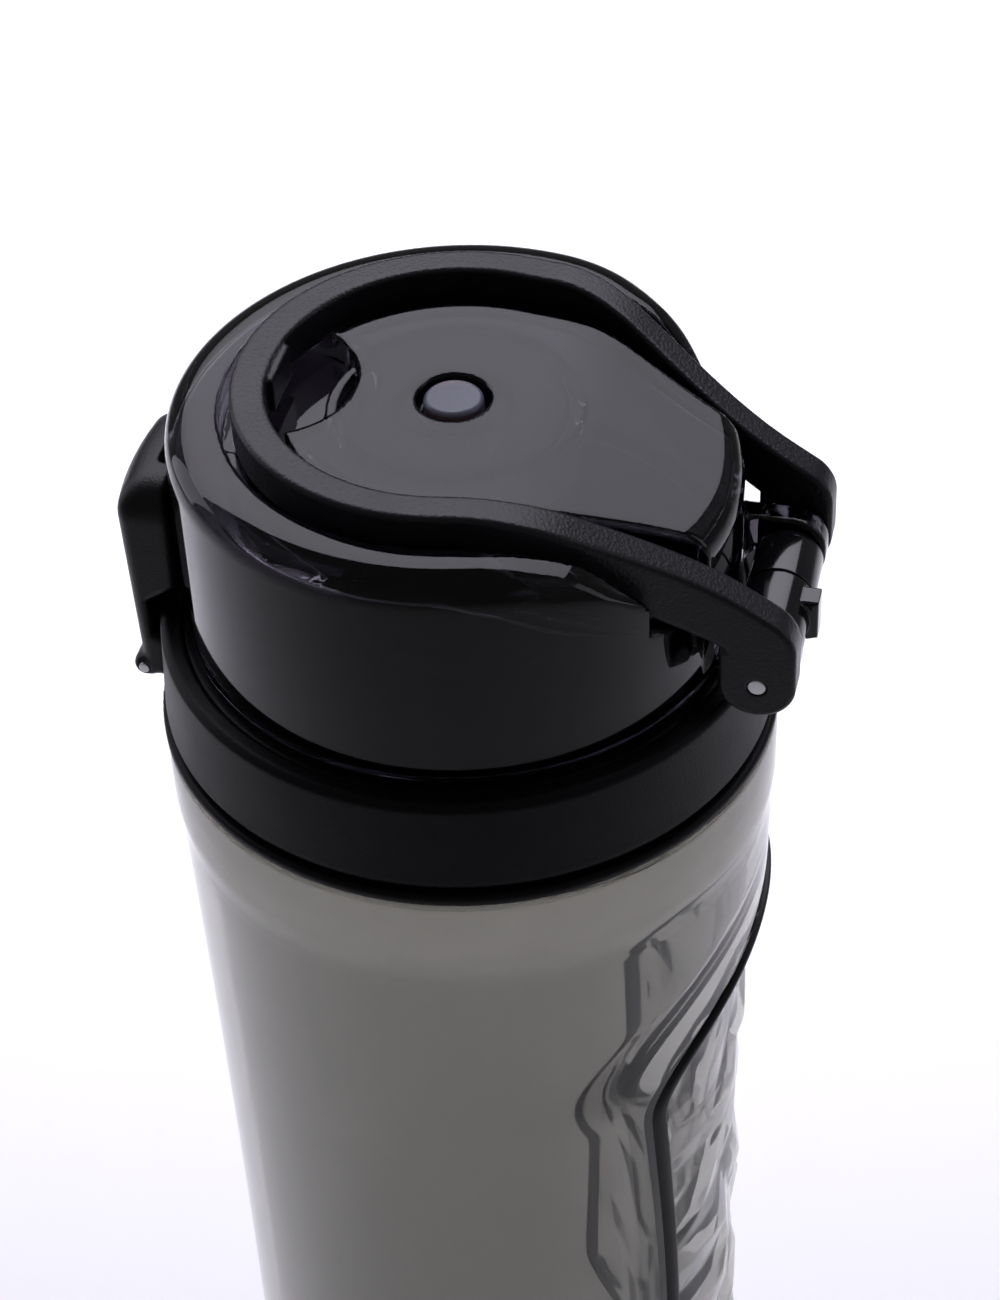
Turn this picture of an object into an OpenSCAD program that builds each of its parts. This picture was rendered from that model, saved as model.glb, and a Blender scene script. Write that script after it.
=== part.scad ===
// Sports bottle with a flip-up drinking lid, a carry loop and a sprung front latch.
// Frame: +Z up, origin at the centre of the foot. The latch faces -Y and the hinge faces +Y.

/* [Body] */
// Height of the body, from the foot to the underside of the cap
body_h = 198; // [170:1:230]
// Largest radius of the body, in the band under the cap
band_r = 36.9; // [36.7:0.1:37]
// Radius at the ends of the gripping length
end_r = 36.5; // [36.2:0.1:36.6]
// Radius at the waist
waist_r = 35.4; // [34.6:0.1:35.8]
// Thickness of the body's wall
wall = 2.4; // [2:0.1:2.6]

/* [Grip] */
// Half of the width of the grip panel across the feet of its dome
grip_half_w = 29.8; // [28:0.1:30.4]
// Distance of the dome's feet below the cap
grip_drop = 46.5; // [44:0.5:50]
// Height of the dome that the grip's top edge makes
grip_dome = 17.5; // [14:0.5:20]
// Turn of the grip from the hinge, about the bottle's axis
grip_turn = 14; // [-20:1:20]
// Width of the grip's moulded rim
rim_w = 1; // [0.8:0.1:1.6]

/* [Cap] */
// Radius of the cap's bottom flange
flange_r = 37; // [36.8:0.1:37.6]
// Height of the ledge that the lid closes onto, above the cap's underside
ledge_h = 14.4; // [14:0.1:15]
// Rise of the cap in one turn
thread_pitch = 4; // [3.5:0.1:4]

/* [Lid] */
// Outer radius of the lid
lid_r = 32.5; // [32.3:0.1:32.6]
// Height of the lid's top above the cap's underside
lid_top = 44; // [43:0.1:45]
// Radius of the vent hole's mouth in the middle of the lid
vent_r = 4.2; // [4:0.1:4.5]

/* [Carry loop] */
// Outer radius of the ring part of the loop
loop_r = 24.8; // [24:0.1:25]
// Width of the loop's band
loop_w = 4; // [3.6:0.1:4.2]
// Half of the distance across the outsides of the two arms at the hinge
arm_x = 15.4; // [15.2:0.1:15.8]

/* [Hinge] */
// Distance of the hinge pin behind the bottle's axis
pin_y = 37; // [37:0.1:37.4]
// Height of the hinge pin above the cap's underside
pin_h = 19.5; // [19.2:0.1:20]
// Radius of the hinge pin
pin_r = 1.05; // [1:0.05:1.3]
// Radial clearance of each turning fit
fit_gap = 0.05; // [0.02:0.01:0.09]

/* [Latch] */
// Distance of the latch pin in front of the bottle's axis
latch_y = 37.9; // [37.8:0.1:38.2]
// Height of the latch pin above the cap's underside
latch_h = 4.4; // [4.3:0.1:4.6]
// Half of the width of the latch lever
latch_half_w = 9.2; // [8:0.1:10]
// Height of the lever's top above the cap's underside
lever_top = 32; // [30:0.1:33]

/* [Hidden] */
$fn = 96;

cap_z = body_h;
foot_chamfer = 3.6;
band_h = 9;
band_step = 4;
waist_z = body_h * 0.48;
waist_reach = body_h - band_h - band_step - waist_z;
neck_r = 29;
neck_bore_r = 26.6;
neck_top = cap_z + 10.5;
thread_r = 30.1;
thread_turns = 1.5;
grip_bottom = 46;
grip_taper = 2;
grip_corner = 6;
recess = 3.4;
rim_proud = 0.6;
skirt_r = 34.9;
skirt_bore_r = 30.6;
deck_t = 2.3;
deck_top = ledge_h - 0.4;
lid_gap = 0.6;
lid_wall = 2;
shoulder = 4.5;
lid_fall = 0.4;
arm_fall = 0.65;
arm_roof_start = 12;
arm_floor_start = 8.1;
loop_top = lid_top + 2;
loop_bottom = lid_top - 3;
arm_r = 4.3;
arm_t = 4;
ear_out = arm_x - arm_t - 0.3;
ear_t = 3.2;
knuckle_x = ear_out - ear_t - 0.3;
barrel_r = 4;
spout_top = 36;
scoop_y = 21.9;
scoop_r = 10.6;
scoop_depth = 1.4;
latch_pin_r = 0.7;
latch_boss_r = 1.5;
lug_r = 1.4;
lever_r = 39.5;
lever_foot_r = 38.9;
ear_r = 4.1;
ear_rise = 0.9;
lug_x = 4.8;
bend_r = 5.2;

// ---- shared outlines ----

// Radius of the body's gripping length at height z
function body_r(z) = waist_r + (end_r - waist_r) * pow((z - waist_z) / waist_reach, 2);

// A height that is level at top, then falls at slope s past y0, with a smooth knee of half length h
function knee(y, top, y0, h, s) =
    top - s * (y < y0 - h ? 0 : y < y0 + h ? pow(y - y0 + h, 2) / (4 * h) : y - y0);

function smooth(t) = t < 0 ? 0 : t > 1 ? 1 : t * t * (3 - 2 * t);

// Half width, at y, of the pear outline that the loop, its groove and the island share
function pear_x(y, inset) =
    y < 6 ? sqrt(max(0, pow(loop_r - inset, 2) - y * y))
          : let (r = sqrt(pow(loop_r - inset, 2) - 36), end_x = arm_x - inset)
            r + (end_x - r) * smooth((y - 6) / 30);

// The pear outline, drawn in by inset and closed at y = 46
function pear_side(inset) = concat(
    [for (a = [0 : 6 : 90]) let (r = loop_r - inset) [r * sin(a), -r * cos(a)]],
    [for (y = [3 : 3 : 36]) [pear_x(y, inset), y]],
    [[arm_x - inset, 46]]);
function mirrored(points) =
    concat(points, [for (i = [len(points) - 1 : -1 : 1]) [-points[i].x, points[i].y]]);

// Points of an arc in a flat outline
function arc(c, r, from, to, steps = 10) =
    [for (i = [0 : steps]) let (a = from + (to - from) * i / steps) c + r * [cos(a), sin(a)]];

function lid_roof(y) = knee(y, lid_top, 10, 4, lid_fall);
function lip_roof(y) = knee(y, lid_top, 16, 6, 1.1);
function loop_roof(y) = knee(y, loop_top, arm_roof_start, 5.5, arm_fall);
function loop_floor(y) = knee(y, loop_bottom, arm_floor_start, 4.5, arm_fall);

// The bend where an arm turns down to the pin, tangent to the arm's top and its rear edge
bend_y = pin_y + arm_r - bend_r;
bend_z = loop_roof(bend_y) - bend_r * sqrt(1 + arm_fall * arm_fall);

// Side outline, in Y and Z, of the arm end, shrunk by inset
function arm_end(inset) = concat(
    arc([bend_y, bend_z], bend_r - inset, 90 - atan(arm_fall), 0),
    arc([pin_y, pin_h], arm_r - inset, 0, -180, 20));

module pear(inset) { polygon(mirrored(pear_side(inset))); }

// Extrudes an outline drawn in Y and Z across the bottle, from x0 to x1, above the cap's underside
module across(x0, x1, points) {
    translate([x0, 0, cap_z])
        rotate([90, 0, 90])
            linear_extrude(height = x1 - x0)
                polygon(points);
}

// A slab across the whole bottle between two height lines over Y
module slab(low, high) {
    count = len(high);
    across(-45, 45, concat(low, [for (i = [count - 1 : -1 : 0]) high[i]]));
}

function line_over(y0, y1, step) = [for (y = [y0 : step : y1]) y];

// Triangles of a closed tube whose rings of points follow each other
function tube_faces(steps, ring) = concat(
    [for (i = [0 : steps - 1]) for (k = [0 : ring - 1]) let (n = (k + 1) % ring)
        [ring * i + k, ring * i + n, ring * (i + 1) + n]],
    [for (i = [0 : steps - 1]) for (k = [0 : ring - 1]) let (n = (k + 1) % ring)
        [ring * i + k, ring * (i + 1) + n, ring * (i + 1) + k]],
    [for (k = [1 : ring - 2]) [0, k + 1, k]],
    [for (k = [1 : ring - 2]) [ring * steps, ring * steps + k, ring * steps + k + 1]]);

// A helical ridge of trapezoid section that stands out of a neck
module thread_ridge(root_r, crest_r, z0, turns) {
    steps_per_turn = 30;
    steps = round(turns * steps_per_turn);
    section = [[root_r - 0.4, -0.8], [crest_r, -0.35], [crest_r, 0.35], [root_r - 0.4, 0.8]];
    points = [for (i = [0 : steps]) for (q = section)
        let (a = 360 * i / steps_per_turn)
        [q.x * cos(a), q.x * sin(a), z0 + thread_pitch * i / steps_per_turn + q.y]];
    polyhedron(points = points, faces = tube_faces(steps, 4), convexity = 6);
}

// A wire coil about X, with wire and coil radii, swept as one tube
module coil(coil_r, wire_r, x0, x1, turns) {
    steps = turns * 16;
    ring = 6;
    points = [for (i = [0 : steps]) for (k = [0 : ring - 1])
        let (a = 360 * i / 16, b = 360 * k / ring, r = coil_r + wire_r * cos(b))
        [x0 + (x1 - x0) * i / steps + wire_r * sin(b), r * cos(a), r * sin(a)]];
    polyhedron(points = points, faces = tube_faces(steps, ring), convexity = 8);
}

// ---- body ----

// The body's outer form, drawn in by inset, from z0 to the top of its gripping length
module grip_length(inset, z0) {
    top = cap_z - band_h - band_step;
    rotate_extrude()
        polygon(concat([[0, z0]],
                       [for (i = [0 : 12]) let (z = z0 + (top - z0) * i / 12) [body_r(z) - inset, z]],
                       [[0, top]]));
}

module body_outside() {
    top = cap_z - 0.4;
    union() {
        grip_length(0, foot_chamfer);
        rotate_extrude()
            polygon([[0, 0], [body_r(0) - 5, 0], [body_r(0) - 1.4, 1],
                     [body_r(foot_chamfer), foot_chamfer], [0, foot_chamfer]]);
        rotate_extrude()
            polygon([[0, cap_z - band_h - band_step], [end_r, cap_z - band_h - band_step],
                     [band_r, cap_z - band_h], [band_r, top - 1], [band_r - 1, top],
                     [neck_r, top], [neck_r, neck_top], [0, neck_top]]);
    }
}

// Outline of the grip, in X and Z, grown by grow
module grip_outline(grow) {
    spring = cap_z - grip_drop;
    low = grip_bottom - grow;
    half_w = grip_half_w + grow;
    corner = grip_corner + grow;
    side = concat(
        [for (a = [90 : -6 : 0]) [half_w * cos(a), spring + (grip_dome + grow) * sin(a)]],
        [for (i = [1 : 5]) let (t = i / 6)
            [half_w - grip_taper * sin(180 * t), spring + (low + corner - spring) * t]],
        arc([half_w - corner, low + corner], corner, 0, -90));
    polygon(mirrored(side));
}

module grip_prism(grow) {
    rotate([0, 0, grip_turn])
        translate([0, 60, 0])
            rotate([90, 0, 0])
                linear_extrude(height = 60)
                    grip_outline(grow);
}

module bottle_body() {
    floor_z = 4;
    color([0.35, 0.36, 0.36, 0.6])
        union() {
            difference() {
                body_outside();
                difference() {
                    grip_prism(0.1);
                    grip_length(recess, 1);
                }
                difference() {
                    grip_length(wall, floor_z);
                    grip_prism(wall / 2);
                }
                grip_length(recess + wall, floor_z);
                translate([0, 0, cap_z - band_h - band_step - 0.01])
                    cylinder(r1 = end_r - wall, r2 = neck_bore_r, h = band_h + band_step - 3);
                translate([0, 0, cap_z - 5])
                    cylinder(r = neck_bore_r, h = 20);
            }
            thread_ridge(neck_r, thread_r, cap_z + 1.6, thread_turns);
        }
}

module grip_rim() {
    color([0.05, 0.05, 0.06])
        difference() {
            intersection() {
                grip_prism(0);
                grip_length(-rim_proud, 2);
            }
            grip_prism(-rim_w);
            grip_length(recess - 0.1, 1);
        }
}

// ---- cap ----

module neck_gasket() {
    color([0.75, 0.76, 0.78])
        translate([0, 0, neck_top + 0.1])
            difference() {
                cylinder(r = skirt_bore_r - 0.3, h = 1);
                translate([0, 0, -1])
                    cylinder(r = neck_bore_r + 0.2, h = 4);
            }
}

// Places children on the hinge pin's axis, with their own Z along the pin's X
module on_hinge(x) { translate([x, pin_y, cap_z + pin_h]) rotate([0, 90, 0]) children(); }
module on_latch(x) { translate([x, -latch_y, cap_z + latch_h]) rotate([0, 90, 0]) children(); }

// The cap's interrupted thread: short lugs that follow the neck's helix, half a pitch above it
module thread_lugs() {
    lug_angle = 18;
    spacing = 40;
    for (i = [0 : 10]) {
        rise = thread_pitch * (spacing * i + lug_angle / 2) / 360;
        translate([0, 0, cap_z + 1.6 + thread_pitch / 2 + rise])
            rotate([0, 0, spacing * i])
                rotate_extrude(angle = lug_angle)
                    polygon([[skirt_bore_r + 0.4, -0.7], [neck_r + 0.5, -0.3],
                             [neck_r + 0.5, 0.3], [skirt_bore_r + 0.4, 0.7]]);
    }
}

module cap_core() {
    stop_w = 3;
    color([0.07, 0.07, 0.08])
        difference() {
            union() {
                translate([0, 0, cap_z])
                    rotate_extrude()
                        polygon([[skirt_bore_r, 0], [flange_r, 0], [flange_r, 1.2], [flange_r - 0.4, 1.5],
                                 [skirt_r, 1.5], [skirt_r, deck_top], [0, deck_top],
                                 [0, deck_top - deck_t], [skirt_bore_r, deck_top - deck_t]]);
                thread_lugs();
                on_hinge(-0.4)
                    cylinder(r = barrel_r, h = knuckle_x + 0.4);
                across(-0.4, knuckle_x, [[33.2, ledge_h - 0.4], [34.6, ledge_h - 0.4], [39.6, pin_h - 2.6],
                                         [pin_y, pin_h], [33.2, pin_h - 2]]);
                across(0.4, 0.4 + stop_w, [[pin_y + 2, pin_h - 3.4], [pin_y + 5, pin_h - 2.4],
                                           [pin_y + 5, pin_h + 3], [pin_y + 2, pin_h + 3]]);
                on_latch(-lug_x)
                    cylinder(r = lug_r, h = 2 * lug_x);
                across(-lug_x, lug_x, [[-skirt_r + 1.5, latch_h - 2], [-latch_y, latch_h - 1.3],
                                       [-latch_y, latch_h + 1.3], [-skirt_r + 1.5, latch_h + 2]]);
            }
            on_hinge(-20)
                cylinder(r = pin_r + fit_gap, h = 40);
            on_latch(-20)
                cylinder(r = latch_pin_r + fit_gap, h = 40);
            across(-2.3, 2.3, [[-skirt_r - 1.2, latch_h - 4], [-latch_y - 4, latch_h - 4],
                               [-latch_y - 4, latch_h + 4], [-skirt_r - 1.2, latch_h + 4]]);
            translate([0, 0, cap_z])
                cylinder(r = 10.5, h = 40);
            translate([0, -21, cap_z])
                cylinder(r = 1.5, h = 40);
        }
}

module collar_band() {
    color([0.09, 0.09, 0.1])
        difference() {
            translate([0, 0, cap_z])
                rotate_extrude()
                    polygon([[skirt_r + 0.05, 2.3], [36.2, 2.3], [36.5, 3], [35.9, ledge_h - 0.7],
                             [35.2, ledge_h], [33.4, ledge_h], [33.4, ledge_h - 0.35],
                             [skirt_r + 0.05, ledge_h - 0.35]]);
            translate([-latch_half_w - 0.4, -40, cap_z])
                cube([2 * latch_half_w + 0.8, 8, ledge_h - 4]);
            translate([-0.8, 33.1, cap_z + ledge_h - 0.36])
                cube([knuckle_x + 1.2, 4, 2]);
        }
}

module spout() {
    color([0.12, 0.12, 0.13])
        translate([0, 0, cap_z])
            rotate_extrude()
                polygon([[8.6, 11.1], [10.8, 11.1], [11, 11.6], [10.4, 11.6], [10.4, ledge_h + 0.2],
                         [11.2, ledge_h + 0.2], [11.2, ledge_h + 1.2], [12.8, ledge_h + 1.2],
                         [12.8, ledge_h - 0.3], [13.6, ledge_h - 0.3], [13.6, ledge_h + 1.8],
                         [12.4, ledge_h + 3], [11.6, 28], [11, spout_top - 0.8], [10.4, spout_top],
                         [9.4, spout_top], [8.6, spout_top - 0.8]]);
}

module spout_oring() {
    color([0.7, 0.71, 0.74])
        translate([0, 0, cap_z + ledge_h + 0.42])
            rotate_extrude()
                translate([12, 0])
                    circle(r = 0.74, $fn = 32);
}

module vent_valve() {
    color([0.7, 0.71, 0.74])
        translate([0, -21, cap_z])
            rotate_extrude()
                polygon([[0, 10.6], [1, 10.6], [2.1, 11.5], [1.4, 11.5], [1.4, ledge_h - 0.4],
                         [4, ledge_h - 0.35], [3.6, ledge_h + 0.3], [1, ledge_h + 0.9], [0, ledge_h + 0.9]]);
}

module hinge_pin() {
    color("silver")
        on_hinge(-arm_x)
            cylinder(r = pin_r, h = 2 * arm_x);
}

module hinge_spring() {
    color("silver")
        translate([0, pin_y, cap_z + pin_h])
            coil(2.1, 0.4, -knuckle_x + 0.8, -2.4, 5);
}

module spring_sleeve() {
    color([0.06, 0.06, 0.07])
        difference() {
            on_hinge(-knuckle_x)
                cylinder(r = barrel_r, h = knuckle_x - 0.5);
            on_hinge(-knuckle_x - 1)
                cylinder(r = 3, h = knuckle_x - 0.8);
            on_hinge(-20)
                cylinder(r = pin_r + fit_gap, h = 40);
        }
}

// ---- lid ----

// The lid's outer form before its groove, cavity and holes
module lid_block() {
    bottom = ledge_h + lid_gap;
    ys = line_over(-44, 44, 2);
    intersection() {
        translate([0, 0, cap_z])
            rotate_extrude()
                polygon(concat([[0, bottom], [lid_r, bottom]],
                               arc([lid_r - shoulder, lid_top - shoulder], shoulder, 0, 90),
                               [[0, lid_top]]));
        slab([for (y = ys) [y, 0]], [for (y = ys) [y, lid_roof(y)]]);
    }
}

// Everything above a height line, inside a plan outline made by the child
module above(ys, heights) {
    intersection() {
        translate([0, 0, cap_z])
            linear_extrude(height = 60)
                children();
        slab([for (i = [0 : len(ys) - 1]) [ys[i], heights[i]]], [for (y = ys) [y, 58]]);
    }
}

module lid_cavity() {
    ys = line_over(-44, 44, 2);
    skin = 1.8;
    intersection() {
        translate([0, 0, cap_z])
            cylinder(r = lid_r - lid_wall, h = 60);
        slab([for (y = ys) [y, 0]], [for (y = ys) [y, loop_floor(y) - 0.4 - skin]]);
    }
    difference() {
        intersection() {
            translate([0, 0, cap_z])
                linear_extrude(height = 60)
                    intersection() {
                        pear(loop_w + 3.4);
                        circle(r = lid_r - lid_wall);
                    }
            slab([for (y = ys) [y, 20]], [for (y = ys) [y, lid_roof(y) - 2.2]]);
        }
        translate([0, -scoop_y, cap_z])
            cylinder(r = scoop_r + 2, h = 60);
    }
}

module ear(x0) {
    across(x0, x0 + ear_t, concat(
        [[30.5, pin_h + ear_rise + ear_r]],
        arc([pin_y, pin_h + ear_rise], ear_r, 90, 0),
        arc([pin_y, pin_h], ear_r, 0, -180, 20),
        [[30.5, pin_h - 3]]));
}

module flip_lid() {
    ys = line_over(-44, 44, 2);
    color([0.2, 0.19, 0.23, 0.7])
        difference() {
            union() {
                difference() {
                    lid_block();
                    above(ys, [for (y = ys) loop_floor(y) - 0.4])
                        difference() {
                            pear(-1.4);
                            pear(loop_w + 1.4);
                        }
                    above(ys, [for (y = ys) lip_roof(y)])
                        difference() {
                            square([90, 90], center = true);
                            pear(-1.3);
                        }
                    above([-44, 44], [loop_bottom - scoop_depth, loop_bottom - scoop_depth])
                        intersection() {
                            pear(-1.4);
                            translate([0, -scoop_y])
                                circle(r = scoop_r);
                        }
                    lid_cavity();
                }
                ear(ear_out - ear_t);
                ear(-ear_out);
                translate([0, 0, cap_z])
                    difference() {
                        cylinder(r = 14.4, h = lid_top - 2);
                        cylinder(r = 13, h = 80);
                        translate([0, 0, -1])
                            cylinder(r = 40, h = spout_top - 1.5);
                    }
                translate([0, 0, cap_z + spout_top + 2.5])
                    cylinder(r = 6.5, h = lid_top - spout_top - 4.4);
            }
            translate([0, 0, cap_z + spout_top])
                cylinder(r = 3.45, h = 20);
            translate([0, 0, cap_z + lid_top - 3])
                cylinder(r = vent_r, h = 20);
            on_hinge(-40)
                cylinder(r = pin_r + fit_gap, h = 80);
        }
}

module lid_seal() {
    color([0.45, 0.47, 0.56])
        translate([0, 0, cap_z + spout_top + 0.3])
            rotate_extrude()
                polygon([[0, 0], [12, 0], [12.5, 0.5], [12.5, 2.1], [3.4, 2.1],
                         [3.4, lid_top - spout_top - 1.4], [3, lid_top - spout_top - 1],
                         [0, lid_top - spout_top - 1]]);
}

// ---- carry loop ----

module carry_loop() {
    ys = line_over(-26, 34, 2);
    tab = 1;
    color([0.12, 0.12, 0.13])
        difference() {
            union() {
                intersection() {
                    translate([0, 0, cap_z])
                        linear_extrude(height = 60)
                            difference() {
                                pear(0);
                                pear(loop_w);
                            }
                    across(-45, 45, concat(
                        [for (y = ys) [y, loop_roof(y)]],
                        arm_end(0),
                        [[pin_y - arm_r, loop_floor(pin_y - arm_r)]],
                        [for (i = [len(ys) - 2 : -1 : 0]) [ys[i], loop_floor(ys[i])]]));
                }
                translate([-3.5, -loop_r + loop_w - 0.5, cap_z + loop_bottom])
                    cube([7, tab + 0.5, loop_top - loop_bottom - 0.6]);
            }
            on_hinge(-40)
                cylinder(r = pin_r + fit_gap, h = 80);
        }
}

// ---- latch ----

module latch_lever() {
    edge = 4.5;
    corner = 5;
    pocket_x = 3;
    pocket_depth = 3.2;
    color([0.08, 0.08, 0.09])
        difference() {
            intersection() {
                union() {
                    translate([0, 0, cap_z])
                        rotate_extrude()
                            polygon(concat([[35.5, latch_h - 1.2], [35.5, 9.4], [36.9, 10.2], [36.9, 15],
                                            [33.2, 17.5], [33.2, lever_top]],
                                           arc([lever_r - edge, lever_top - edge], edge, 90, 0),
                                           [[lever_foot_r, latch_h], [lever_foot_r - 0.6, latch_h - 1.2]]));
                    on_latch(-20)
                        cylinder(r = latch_boss_r, h = 40);
                }
                translate([0, 0, cap_z])
                    rotate([90, 0, 0])
                        linear_extrude(height = 50)
                            polygon(mirrored(concat(
                                [[0, lever_top]],
                                arc([latch_half_w - corner, lever_top - corner], corner, 90, 0),
                                [[latch_half_w, 0]])));
            }
            on_latch(-40)
                cylinder(r = latch_pin_r + fit_gap, h = 80);
            translate([-lug_x - 0.35, -50, cap_z])
                cube([2 * lug_x + 0.7, 20, latch_h + 4.4]);
            translate([-pocket_x, -35, cap_z + lever_top - pocket_depth])
                cube([2 * pocket_x, 4, 10]);
        }
}

module latch_pin() {
    color("silver")
        on_latch(-latch_half_w)
            cylinder(r = latch_pin_r, h = 2 * latch_half_w);
}

module latch_spring() {
    color("silver")
        translate([0, -latch_y, cap_z + latch_h])
            coil(1.45, 0.25, -1.7, 1.7, 4);
}

bottle_body();
grip_rim();
neck_gasket();
cap_core();
collar_band();
spout();
spout_oring();
vent_valve();
hinge_pin();
hinge_spring();
spring_sleeve();
flip_lid();
lid_seal();
carry_loop();
latch_lever();
latch_pin();
latch_spring();
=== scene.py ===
"""Looks of the sports bottle: rounded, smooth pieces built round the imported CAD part.

Lengths are in millimetres until a mesh is made. Heights named h are above the cap's underside.
"""

import math

import bmesh
import bpy
import numpy as np
from mathutils import Matrix, Vector


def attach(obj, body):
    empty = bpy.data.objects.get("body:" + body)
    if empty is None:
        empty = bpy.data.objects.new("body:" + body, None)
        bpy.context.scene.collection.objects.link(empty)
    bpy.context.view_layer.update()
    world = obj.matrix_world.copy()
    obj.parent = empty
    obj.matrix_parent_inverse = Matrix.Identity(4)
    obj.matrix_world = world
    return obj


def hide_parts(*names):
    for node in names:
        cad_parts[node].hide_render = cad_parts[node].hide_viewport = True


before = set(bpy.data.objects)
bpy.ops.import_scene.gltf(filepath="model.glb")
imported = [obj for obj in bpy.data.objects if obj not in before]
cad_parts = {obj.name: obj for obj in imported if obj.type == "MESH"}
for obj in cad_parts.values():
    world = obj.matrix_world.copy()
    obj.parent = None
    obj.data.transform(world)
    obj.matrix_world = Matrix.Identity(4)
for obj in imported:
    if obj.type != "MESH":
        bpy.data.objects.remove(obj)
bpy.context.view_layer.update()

MM = 0.001
CAP = 198.0

# ---------------------------------------------------------------- sizes

WALL = 2.4
WAIST_R, END_R = 35.4, 36.5
BAND_R, BAND_H, BAND_STEP = 36.9, 9.0, 4.0
WAIST_Z = CAP * 0.48
GRIP_END = CAP - BAND_H - BAND_STEP
NECK_R, NECK_BORE, NECK_TOP = 29.0, 26.6, 10.5
THREAD_R, THREAD_PITCH, THREAD_TURNS = 30.1, 4.0, 1.5
GRIP_HALF_W, GRIP_DROP, GRIP_DOME, GRIP_TURN = 29.8, 46.5, 17.5, math.radians(14)
GRIP_BOTTOM, GRIP_TAPER, GRIP_CORNER = 46.0, 2.0, 6.0
FOOT_ROUND = 3.6
# Start, measured outwards from the grip's outline, and width of the recess, the facets and the inner step
RECESS_START, RECESS_RUN = -0.6, 1.6
FACET_START, FACET_RUN = -1.9, 0.8
SWELL_START, SWELL_RUN = 9.0, 12.5
GEM_SIZE, GEM_DEPTH, GEM_JITTER = 6.2, 1.5, 0.28
RECESS, INNER_RECESS, RIM_W, RIM_PROUD, RIM_FOOT = 3.4, 2.0, 1.0, 0.6, 0.9
FLANGE_R, SKIRT_R, SKIRT_BORE = 37.0, 34.9, 30.6
LEDGE, DECK_TOP, DECK_T = 14.4, 14.0, 2.3
LID_R, LID_TOP, LID_BOTTOM, LID_WALL, SHOULDER = 32.5, 44.0, 15.0, 2.0, 4.5
LID_FALL, ARM_FALL, ARM_ROOF_START, ARM_FLOOR_START = 0.4, 0.65, 12.0, 8.1
LOOP_R, LOOP_W, LOOP_TOP, LOOP_BOTTOM = 24.8, 4.0, 46.0, 41.0
ARM_X, ARM_R = 15.4, 4.3
PIN_Y, PIN_H, PIN_R, BORE_R = 37.0, 19.5, 1.05, 1.1
EAR_OUT, EAR_T = 11.1, 3.2
KNUCKLE_X, BARREL_R = 7.6, 4.0
SPOUT_TOP, VENT_R, SEAL_BORE = 36.0, 4.2, 3.45
SCOOP_Y, SCOOP_R, SCOOP_DEPTH = -21.9, 10.6, 1.4
VENT_Y = -21.0
LATCH_Y, LATCH_H, LATCH_HALF_W, LATCH_PIN_R, LATCH_BORE = -37.9, 4.4, 9.2, 0.7, 0.75
LUG_X, LUG_R, LATCH_BOSS_R = 4.8, 1.4, 1.5
LEVER_R, LEVER_FOOT_R, LEVER_TOP = 39.5, 38.9, 32.0
LEVER_EDGE, LEVER_CORNER = 4.5, 5.0
EAR_R, EAR_RISE = 4.1, 0.9
BEND_R = 5.2


def knee(y, top, y0, half, slope):
    """Level at top, then falling past y0, with a smooth knee."""
    bent = (y - y0 + half) ** 2 / (4 * half)
    return top - slope * np.where(y < y0 - half, 0, np.where(y < y0 + half, bent, y - y0))


def lid_roof(y):
    return knee(y, LID_TOP, 10, 4, LID_FALL)


def loop_roof(y):
    return knee(y, LOOP_TOP, ARM_ROOF_START, 5.5, ARM_FALL)


def loop_floor(y):
    return knee(y, LOOP_BOTTOM, ARM_FLOOR_START, 4.5, ARM_FALL)


def lip_roof(y):
    return knee(y, LID_TOP, 16, 6, 1.1)


def body_r(z):
    return WAIST_R + (END_R - WAIST_R) * ((z - WAIST_Z) / (GRIP_END - WAIST_Z)) ** 2


# ---------------------------------------------------------------- distance fields

def meet(a, b, k):
    """Where both solids are, with their convex edge rounded to radius k."""
    outside = np.hypot(np.maximum(a + k, 0), np.maximum(b + k, 0))
    return np.minimum(np.maximum(a + k, b + k), 0) + outside - k


def join(a, b, k):
    """Where either solid is, with a fillet of radius k between them."""
    return -meet(-a, -b, k)


def cut(a, b, k):
    return meet(a, -b, k)


class Outline:
    """Signed distance, negative inside, to a closed polygon, read from a fine table."""

    def __init__(self, points, low, high, step=0.2):
        self.low, self.step = low, step
        axes = [np.arange(a, b + step, step) for a, b in zip(low, high)]
        u, v = np.meshgrid(*axes, indexing="ij")
        near = np.full(u.shape, 1e9)
        inside = np.zeros(u.shape, bool)
        points = np.array(points, float)
        for (ax, ay), (bx, by) in zip(points, np.roll(points, -1, axis=0)):
            ex, ey = bx - ax, by - ay
            t = np.clip(((u - ax) * ex + (v - ay) * ey) / max(ex * ex + ey * ey, 1e-12), 0, 1)
            near = np.minimum(near, np.hypot(u - ax - t * ex, v - ay - t * ey))
            if ey:
                inside ^= ((ay > v) != (by > v)) & (u < ax + ex * (v - ay) / ey)
        self.table = np.where(inside, -near, near)

    def __call__(self, u, v):
        nu, nv = self.table.shape
        p = np.clip((u - self.low[0]) / self.step, 0, nu - 1.001)
        q = np.clip((v - self.low[1]) / self.step, 0, nv - 1.001)
        i, j = p.astype(int), q.astype(int)
        s, t = p - i, q - j
        low = self.table[i, j] * (1 - t) + self.table[i, j + 1] * t
        high = self.table[i + 1, j] * (1 - t) + self.table[i + 1, j + 1] * t
        return low * (1 - s) + high * s


def arc(cy, cz, r, start, end, steps=16):
    return [(cy + r * math.cos(math.radians(start + (end - start) * i / steps)),
             cz + r * math.sin(math.radians(start + (end - start) * i / steps))) for i in range(steps + 1)]


def smooth_step(t):
    t = np.clip(t, 0, 1)
    return t * t * (3 - 2 * t)


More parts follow.
